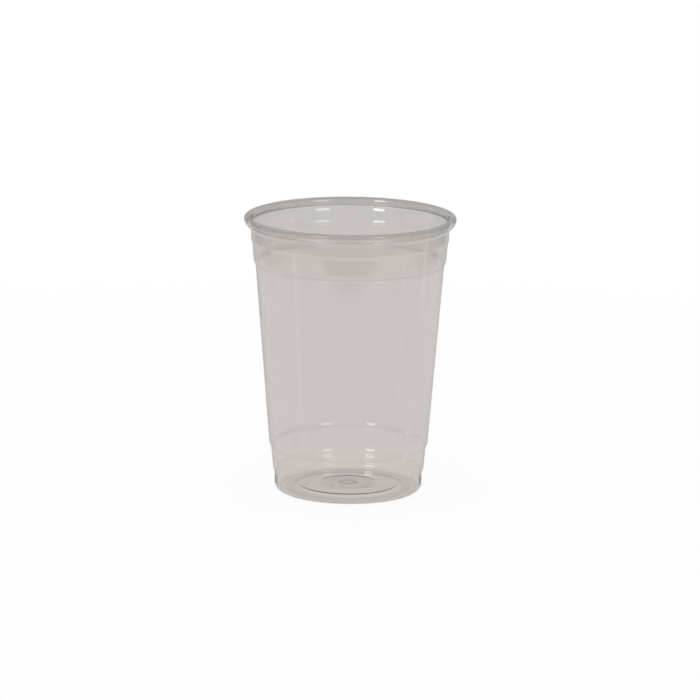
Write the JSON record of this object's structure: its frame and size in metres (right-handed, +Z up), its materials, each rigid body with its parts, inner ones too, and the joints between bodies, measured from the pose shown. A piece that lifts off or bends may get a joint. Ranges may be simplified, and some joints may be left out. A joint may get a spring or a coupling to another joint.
{
  "type": "plastic disposable cup",
  "caption": "Clear plastic cold-drink cup: tapered body, rolled rim for a press-fit lid, stacking shoulder and steps, and a pushed-up floor inside a round foot.",
  "frame": {"origin": "centre of the plane that the cup stands on, under the middle of its floor", "axes": "+Z up along the cup's axis; the cup is the same all round, so +X and +Y are any two square directions"},
  "size_m": [0.078, 0.078, 0.1029],
  "materials": {
    "clear_plastic": "clear and glossy, with a faint grey cast"
  },
  "bodies": {
    "root": {"cup": "clear_plastic"}
  },
  "joints": []
}
